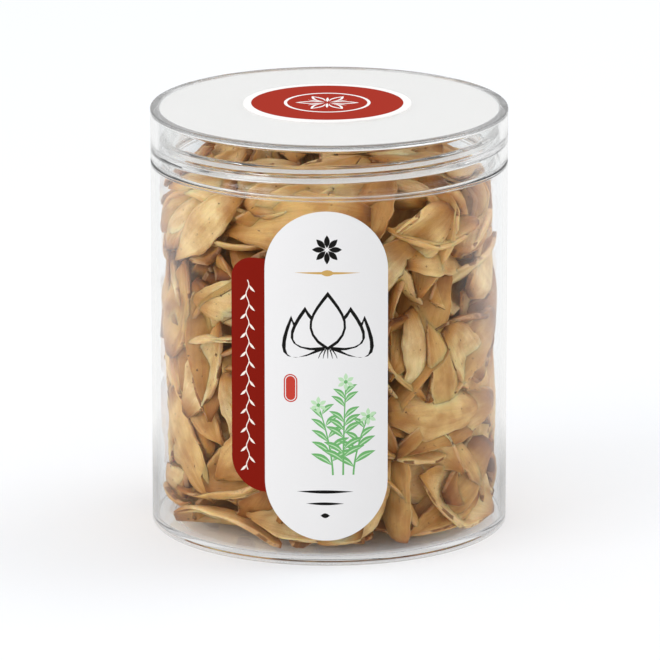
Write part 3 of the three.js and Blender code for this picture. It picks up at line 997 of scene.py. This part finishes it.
def add(material, kind, inputs=None, stops=None, **settings):
    """Adds a node. An input takes a value or another node's output. A colour ramp takes stops,
    its two ends first."""
    made = material.node_tree.nodes.new(kind)
    for name, value in settings.items():
        setattr(made, name, value)
    for name, value in (inputs or {}).items():
        if isinstance(value, bpy.types.NodeSocket):
            material.node_tree.links.new(value, made.inputs[name])
        else:
            made.inputs[name].default_value = value
    for k, (place, colour) in enumerate(stops or []):
        elements = made.color_ramp.elements
        element = elements[k] if k < 2 else elements.new(place)
        element.position = place
        element.color = linear(colour)
    return made


# %% [markdown]
# ### Clear plastic
#
# PET and polystyrene let nearly all light through, bend it by an index of 1.57 or 1.59 and
# shine sharply. Light that only crosses the wall to reach the scales is let straight through,
# because tracing it through the bends would be slow and noisy.

# %% Make the jar's clear plastic
PET_INDEX = 1.57
POLISHED = 0.01


def let_through(material, surface, kinds, share):
    """Ends a material with surface, which a share of the rays of these kinds ignores."""
    if not share:
        add(material, "ShaderNodeOutputMaterial", {"Surface": surface})
        return
    path = add(material, "ShaderNodeLightPath").outputs
    straight = path[kinds[0]]
    for kind in kinds[1:]:
        either = {0: straight, 1: path[kind]}
        straight = add(material, "ShaderNodeMath", either, operation="MAXIMUM").outputs[0]
    part = add(material, "ShaderNodeMath", {0: straight, 1: share}, operation="MULTIPLY")
    open_air = add(material, "ShaderNodeBsdfTransparent")
    ends = {0: part.outputs[0], 1: surface, 2: open_air.outputs[0]}
    mixed = add(material, "ShaderNodeMixShader", ends)
    add(material, "ShaderNodeOutputMaterial", {"Surface": mixed.outputs[0]})


def clear_plastic(material, colour, index):
    """Ends a material as clear plastic. Its colour is a linear one, or a node's output."""
    glassy = add(
        material,
        "ShaderNodeBsdfPrincipled",
        {
            "Base Color": colour,
            "Roughness": POLISHED,
            "IOR": index,
            "Transmission Weight": 1.0,
        },
    )
    let_through(material, glassy.outputs[0], ("Is Shadow Ray", "Is Diffuse Ray"), 1.0)
    print(f"{material.name}: index {index}, {len(material.node_tree.nodes)} nodes")


blown_pet = new_material("blown_clear_pet")
clear_plastic(blown_pet, linear("#FBFCFC"), PET_INDEX)
jar_wall.data.materials.append(blown_pet)

# %% [markdown]
# ### The lid's plastic and its grey ring
#
# The grey ring round the edge of the lid's top is painted shade: a grey tint in place of the dark
# that the thick clear rim mirrors. A separate ring would leave a seam inside the plastic, so the
# ring is a grey tint, which keeps to the upper face by its height and to the edge by its distance
# from the axis.

# %% Make the lid's clear plastic
POLYSTYRENE_INDEX = 1.59
PAINTED_RIM_GREY = "#9C9D9E"
PAINTED_RIM_FROM = 40.7 * mm
PAINTED_RIM_BLUR = 0.2 * mm
BELOW_TOP = (0.5 * mm, 0.3 * mm)
moulded_polystyrene = new_material("moulded_clear_polystyrene")
place = add(moulded_polystyrene, "ShaderNodeTexCoord").outputs["Object"]
height = add(moulded_polystyrene, "ShaderNodeSeparateXYZ", {0: place}).outputs["Z"]
level = add(
    moulded_polystyrene, "ShaderNodeVectorMath", {0: place, 1: (1, 1, 0)}, operation="MULTIPLY"
)
off_axis = add(
    moulded_polystyrene, "ShaderNodeVectorMath", {0: level.outputs[0]}, operation="LENGTH"
)
at_edge, on_top = (
    add(
        moulded_polystyrene,
        "ShaderNodeMapRange",
        {"Value": value, "From Min": low, "From Max": high},
    ).outputs[0]
    for value, low, high in (
        (off_axis.outputs["Value"], PAINTED_RIM_FROM - PAINTED_RIM_BLUR, PAINTED_RIM_FROM + PAINTED_RIM_BLUR),
        (height, LID_TOP - BELOW_TOP[0], LID_TOP - BELOW_TOP[1]),
    )
)
# Where the grey tint of the painted rim shade lies: on the upper face, near the edge.
painted_rim_and_matt_sheet = add(moulded_polystyrene, "ShaderNodeMath", {0: at_edge, 1: on_top}, operation="MULTIPLY")
tinted = add(
    moulded_polystyrene,
    "ShaderNodeMix",
    {0: painted_rim_and_matt_sheet.outputs[0], MIX_A: linear("#FAFBFB"), MIX_B: linear(PAINTED_RIM_GREY)},
    data_type="RGBA",
)
clear_plastic(moulded_polystyrene, tinted.outputs[MIXED], POLYSTYRENE_INDEX)
lid_cap.data.materials.append(moulded_polystyrene)

# %% [markdown]
# ### Board and coated paper
#
# Thin liner board is dull, with a faint fibre. Its glow is painted light: a fixed glow over a grey
# base colour stands in for the light that comes through it. Label paper is coated, so it has a soft
# even gloss, and its printing inks are as glossy as the paper they lie on. The inks don't mix on
# these sheets, so each is a material of its own. A real fibre is a few hundredths of a millimetre
# wide, too fine to show, so it is drawn wider.

# %% Make the papers and inks
FIBRE_SIZE = 0.35 * mm
FIBRE_SHADE = 0.97
COATED = 0.01 * mm
UNCOATED = 0.02 * mm


def paper(name, colour, roughness, gloss=0.3, relief=COATED, opacity=1.0, glow=0.0):
    """Paper or board of one colour, with fibres. It keeps back the share opacity of the lamps'
    light, and glow is a painted glow: light that it gives off itself, in place of light that
    has gone into it."""
    material = new_material(name)
    place = add(material, "ShaderNodeTexCoord").outputs["Object"]
    pattern = {"Vector": place, "Scale": 1 / FIBRE_SIZE, "Detail": 3.0}
    fibres = add(material, "ShaderNodeTexNoise", pattern).outputs["Fac"]
    between = [FIBRE_SHADE * c for c in linear(colour)[:3]] + [1.0]
    shade = add(
        material,
        "ShaderNodeMix",
        {0: fibres, MIX_A: between, MIX_B: linear(colour)},
        data_type="RGBA",
    )
    raised = {"Height": fibres, "Strength": 0.25, "Distance": relief}
    bump = add(material, "ShaderNodeBump", raised)
    surface = add(
        material,
        "ShaderNodeBsdfPrincipled",
        {
            "Base Color": shade.outputs[MIXED],
            "Roughness": roughness,
            "Specular IOR Level": gloss,
            "Emission Color": linear("#FFFFFF"),
            "Emission Strength": glow,
            "Normal": bump.outputs["Normal"],
        },
    )
    let_through(material, surface.outputs[0], ("Is Shadow Ray",), 1 - opacity)
    return material


INKS = (
    (
        front_paper,
        paper("coated_white_paper", "#E6E5E5", 0.42, 0.15),
        paper("black_offset_ink", "#151413", 0.38),
        paper("gold_offset_ink", "#C9A15A", 0.35),
        paper("red_stamp_ink", "#C33A2C", 0.4),
        paper("leaf_green_ink", "#6DB069", 0.4),
        paper("pale_green_ink", "#BBDDB4", 0.4),
    ),
    (
        side_paper,
        paper("dark_red_offset_ink", "#7F1406", 0.5, 0.06),
        paper("unprinted_cream", "#F1E6DC", 0.4),
    ),
    (
        lid_seal,
        paper("sticker_white_paper", "#F7F6F5", 0.4),
        paper("sticker_red_ink", "#A5372C", 0.5, 0.0),
    ),
    (
        liner_board,
        # The liner board's base colour is grey; its painted glow of 0.66 makes it read as white
        # board lit through.
        paper("white_liner_board", "#8C8A87", 0.6, relief=UNCOATED, opacity=0.5, glow=0.66),
    ),
)
for sheet, *inks in INKS:
    for ink in inks:
        sheet.data.materials.append(ink)
    print(f"{sheet.name}: {len(inks)} materials")

# %% [markdown]
# ### Dried flesh
#
# A dried scale is starchy and slightly waxy: cream to tan, amber in places, brown at the cut
# base and the tip, paler along its rim, with a few burnt edges and dark specks. Light goes a
# little way into it. Its furrows run along it, so they and the amber zones follow the scale's
# own length and width, which each vertex carries in the attribute flesh. The attribute tint is
# one number for each scale. It picks the scale's shade, and sets its pattern apart from the
# others'. Blotches and specks follow the place in the jar.

# %% Draw the flesh's patterns
SCALE_LENGTH = 30 * mm
SCALE_HALF_WIDTH = 6.6 * mm
FURROW = (12.5 * mm, 0.55 * mm)
ZONE = (10.5 * mm, 4.6 * mm)
FURROWS_APART, ZONES_APART = 180.0, 77.0
BLOTCH = 5.88 * mm
SPECK = 1.11 * mm
dried_flesh = new_material("dried_lily_flesh")
flesh = add(dried_flesh, "ShaderNodeAttribute", attribute_name="flesh").outputs["Vector"]
tint = add(dried_flesh, "ShaderNodeAttribute", attribute_name="tint").outputs["Fac"]
place = add(dried_flesh, "ShaderNodeTexCoord").outputs["Object"]
parts = add(dried_flesh, "ShaderNodeSeparateXYZ", {0: flesh}).outputs
along, across = parts["X"], parts["Y"]
own_place = add(dried_flesh, "ShaderNodeCombineXYZ", {0: along, 1: across, 2: tint}).outputs[0]
furrow_place, zone_place = (
    add(
        dried_flesh,
        "ShaderNodeVectorMath",
        {0: own_place, 1: (SCALE_LENGTH / long, SCALE_HALF_WIDTH / wide, apart)},
        operation="MULTIPLY",
    ).outputs[0]
    for (long, wide), apart in ((FURROW, FURROWS_APART), (ZONE, ZONES_APART))
)
furrows, zones, blotches, specks = (
    add(dried_flesh, "ShaderNodeTexNoise", pattern).outputs["Fac"]
    for pattern in (
        {"Vector": furrow_place, "Scale": 1.0, "Detail": 4.0, "Distortion": 0.5},
        {"Vector": zone_place, "Scale": 1.0, "Detail": 2.0},
        {"Vector": place, "Scale": 1 / BLOTCH, "Detail": 4.0, "Roughness": 0.6},
        {"Vector": place, "Scale": 1 / SPECK, "Detail": 1.0},
    )
)
print(f"furrows: {FURROW[1] / mm:.2f} mm wide, blotches: {BLOTCH / mm:.1f} mm")

# %% Choose where each colour shows
edge = add(dried_flesh, "ShaderNodeMath", {0: across}, operation="ABSOLUTE").outputs[0]
amber, pale_rim, burnt, near_edge, specked = (
    add(
        dried_flesh,
        "ShaderNodeMapRange",
        {"Value": value, "From Min": low, "From Max": high, "To Max": most},
    ).outputs[0]
    for value, low, high, most in (
        (zones, 0.46, 0.68, 0.75),
        (edge, 0.80, 0.97, 0.2),
        (blotches, 0.51, 0.58, 0.9),
        (edge, 0.92, 0.98, 1.0),
        (specks, 0.72, 0.78, 0.8),
    )
)
burnt_rim = add(
    dried_flesh, "ShaderNodeMath", {0: burnt, 1: near_edge}, operation="MULTIPLY"
).outputs[0]
BASE_TO_TIP = [
    (0.0, "#7A4C1E"),
    (1.0, "#9A672C"),
    (0.06, "#BE8C4E"),
    (0.22, "#F5DEB0"),
    (0.75, "#F0D4A2"),
    (0.93, "#CE9E5E"),
]
OWN_SHADES = [
    (0.0, "#FFFEFA"),
    (1.0, "#B6864A"),
    (0.4, "#FBEFD6"),
    (0.65, "#E9D4AC"),
    (0.88, "#D1B07C"),
]
colour, streaks, mottle, own_shade = (
    add(dried_flesh, "ShaderNodeValToRGB", {0: share}, stops).outputs[0]
    for share, stops in (
        (along, BASE_TO_TIP),
        (furrows, [(0.3, "#CBA568"), (0.62, "#FFFAEA")]),
        (blotches, [(0.36, "#C8A272"), (0.58, "#FFFFFF")]),
        (tint, OWN_SHADES),
    )
)

# %% Lay the colours over each other and finish the flesh
LAYERS = (
    ("MULTIPLY", 0.3, streaks),
    ("MIX", amber, linear("#BA873E")),
    ("MULTIPLY", 0.5, mottle),
    ("MULTIPLY", 0.95, own_shade),
    ("MIX", pale_rim, linear("#FBE0B8")),
    ("MIX", burnt_rim, linear("#7A4A1E")),
    ("MIX", specked, linear("#553213")),
)
FURROW_DEPTH = 0.5 * mm
LIGHT_REACH = (4.0 * mm, 1.8 * mm, 0.6 * mm)
# A painted glow: every scale gives off a faint warm light of its own, in place of the light that
# has crossed several scales and still warms the gaps between them.
PAINTED_GAP_GLOW = 0.028
for how, share, upper in LAYERS:
    colour = add(
        dried_flesh,
        "ShaderNodeMix",
        {0: share, MIX_A: colour, MIX_B: upper},
        data_type="RGBA",
        blend_type=how,
    ).outputs[MIXED]
grooved = add(
    dried_flesh,
    "ShaderNodeBump",
    {"Height": furrows, "Strength": 0.4, "Distance": FURROW_DEPTH},
)
uneven = add(
    dried_flesh,
    "ShaderNodeBump",
    {
        "Height": blotches,
        "Strength": 0.3,
        "Distance": FURROW_DEPTH,
        "Normal": grooved.outputs["Normal"],
    },
)
surface = add(
    dried_flesh,
    "ShaderNodeBsdfPrincipled",
    {
        "Base Color": colour,
        "Roughness": 0.5,
        "Specular IOR Level": 0.35,
        "Subsurface Weight": 0.5,
        "Subsurface Radius": LIGHT_REACH,
        "Subsurface Scale": 0.6,
        # the painted glow in the gaps between the scales
        "Emission Color": linear("#A0803E"),
        "Emission Strength": PAINTED_GAP_GLOW,
        "Normal": uneven.outputs["Normal"],
    },
)
add(dried_flesh, "ShaderNodeOutputMaterial", {"Surface": surface.outputs[0]})
for piece in heap_pieces:
    piece.data.materials.append(dried_flesh)
print(f"dried flesh: {len(LAYERS)} layers over the ground colour")

# %% [markdown]
# ## Floor and light
#
# A white seamless sheet lies under and behind the jar, under a white sky. Clear plastic only
# shows by what it mirrors, so what a mirrored ray meets is chosen on its own: dark in front of
# the jar, which keeps the view of the scales free of haze, and light grey beside and behind
# it, which draws the rims. Grey cards round the jar could do this, but would shade the sheet.

# %% Tell mirrored rays from the others


def mirrored_share(material):
    """1 for a ray that was mirrored on its way and not scattered since, 0 for the others."""
    path = add(material, "ShaderNodeLightPath").outputs
    depths_and_last = {0: path["Glossy Depth"], 1: path["Is Diffuse Ray"]}
    sharp = add(material, "ShaderNodeMath", depths_and_last, operation="SUBTRACT", use_clamp=True)
    return sharp.outputs[0]


def by_side(material, place, front, back, greys):
    """A grey that goes from the front on Y to the back."""
    depth = add(material, "ShaderNodeSeparateXYZ", {0: place}).outputs["Y"]
    limits = {"Value": depth, "From Min": front, "From Max": back}
    share = add(material, "ShaderNodeMapRange", limits).outputs[0]
    return add(material, "ShaderNodeValToRGB", {0: share}, greys).outputs[0]


# %% Lay the floor
FLOOR_SIZE = 9.0
# A share of the sheet's colour is a painted glow that makes the shadows on it fainter. It fades out
# under the jar, where only the light that reaches the sheet shows.
FLOOR_GLOW = 1.1
FLOOR_GLOW_SHARE = 0.36
FLOOR_GREYS = [(0.0, "#303030"), (1.0, "#EEEEEE"), (0.5, "#5C5C5C")]
GREYS_REACH = (-160 * mm, 80 * mm)
MIRRORED_FROM = (25 * mm, 65 * mm)
GLOW_FROM = (30 * mm, 43 * mm)
bpy.ops.object.select_all(action="DESELECT")
bpy.ops.mesh.primitive_grid_add(x_subdivisions=4, y_subdivisions=4, size=FLOOR_SIZE)
studio_floor = bpy.context.object
studio_floor.name = studio_floor.data.name = "studio_floor"
floor_sheet = new_material("white_seamless_sheet")
place = add(floor_sheet, "ShaderNodeTexCoord").outputs["Object"]
seen_mirrored = by_side(floor_sheet, place, *GREYS_REACH, FLOOR_GREYS)
off_jar = add(floor_sheet, "ShaderNodeVectorMath", {0: place}, operation="LENGTH").outputs["Value"]
far, glow_share = (
    add(
        floor_sheet,
        "ShaderNodeMapRange",
        {"Value": off_jar, "From Min": start, "From Max": full, "To Max": most},
    ).outputs[0]
    for (start, full), most in ((MIRRORED_FROM, 1.0), (GLOW_FROM, FLOOR_GLOW_SHARE))
)
mirrored = mirrored_share(floor_sheet)
far_mirrored = add(floor_sheet, "ShaderNodeMath", {0: mirrored, 1: far}, operation="MULTIPLY")
sheet_colour = add(
    floor_sheet,
    "ShaderNodeMix",
    {0: far_mirrored.outputs[0], MIX_A: linear("#F3F5F8"), MIX_B: seen_mirrored},
    data_type="RGBA",
).outputs[MIXED]
painted_rim_and_matt_sheet = add(floor_sheet, "ShaderNodeBsdfDiffuse", {"Color": sheet_colour})
painted_floor_glow = add(floor_sheet, "ShaderNodeEmission", {"Color": sheet_colour, "Strength": FLOOR_GLOW})
sheet = add(
    floor_sheet, "ShaderNodeMixShader", {0: glow_share, 1: painted_rim_and_matt_sheet.outputs[0], 2: painted_floor_glow.outputs[0]}
)
add(floor_sheet, "ShaderNodeOutputMaterial", {"Surface": sheet.outputs[0]})
studio_floor.data.materials.append(floor_sheet)
print(f"floor: {FLOOR_SIZE:.0f} m wide")

# %% Light the sky
SKY_LIGHT = 0.87
BACKGROUND = 1.0
SKY_GREYS = [(0.0, "#D0D0D0"), (1.0, "#F0F0F0"), (0.5, "#E8E8E8")]
world = bpy.data.worlds.new("studio_sky")
bpy.context.scene.world = world
world.use_nodes = True
world.node_tree.nodes.clear()
way = add(world, "ShaderNodeTexCoord").outputs["Generated"]
sky_path = add(world, "ShaderNodeLightPath").outputs
direct = {0: sky_path["Is Camera Ray"], 1: sky_path["Is Transmission Ray"]}
seen = add(world, "ShaderNodeMath", direct, operation="MAXIMUM")
strengths = {"Value": seen.outputs[0], "To Min": SKY_LIGHT, "To Max": BACKGROUND}
brightness = add(world, "ShaderNodeMapRange", strengths)
sky_mirrored = by_side(world, way, -1.0, 1.0, SKY_GREYS)
sky_colour = add(
    world,
    "ShaderNodeMix",
    {0: mirrored_share(world), MIX_A: linear("#FFFFFF"), MIX_B: sky_mirrored},
    data_type="RGBA",
)
glow = add(
    world,
    "ShaderNodeBackground",
    {"Color": sky_colour.outputs[MIXED], "Strength": brightness.outputs[0]},
)
add(world, "ShaderNodeOutputWorld", {"Surface": glow.outputs[0]})
print(f"sky: {SKY_LIGHT} as light, {BACKGROUND} as background")

# %% Hang the lamps
LAMP_TARGET = Vector((0, 0, 0.05))
LAMPS = {
    "key": ((0.75, 0.35, 1.1), 4.0, 0.8),
    "side": ((-1.1, -0.7, 0.7), 7.1, 0.9),
}
for name, (spot, watts, size) in LAMPS.items():
    lamp = bpy.data.objects.new(name, bpy.data.lights.new(name, "AREA"))
    bpy.context.scene.collection.objects.link(lamp)
    lamp.data.energy = watts
    lamp.data.size = size
    lamp.location = spot
    lamp.rotation_euler = (LAMP_TARGET - lamp.location).to_track_quat("-Z", "Y").to_euler()
bpy.context.scene.view_settings.view_transform = "Standard"

# Light caught inside a thick clear rim is thrown back many times before it comes out.
paths = bpy.context.scene.cycles
paths.max_bounces = 32
paths.glossy_bounces = 24
paths.transmission_bounces = 24
paths.transparent_max_bounces = 24
print("lamps:", ", ".join(LAMPS))
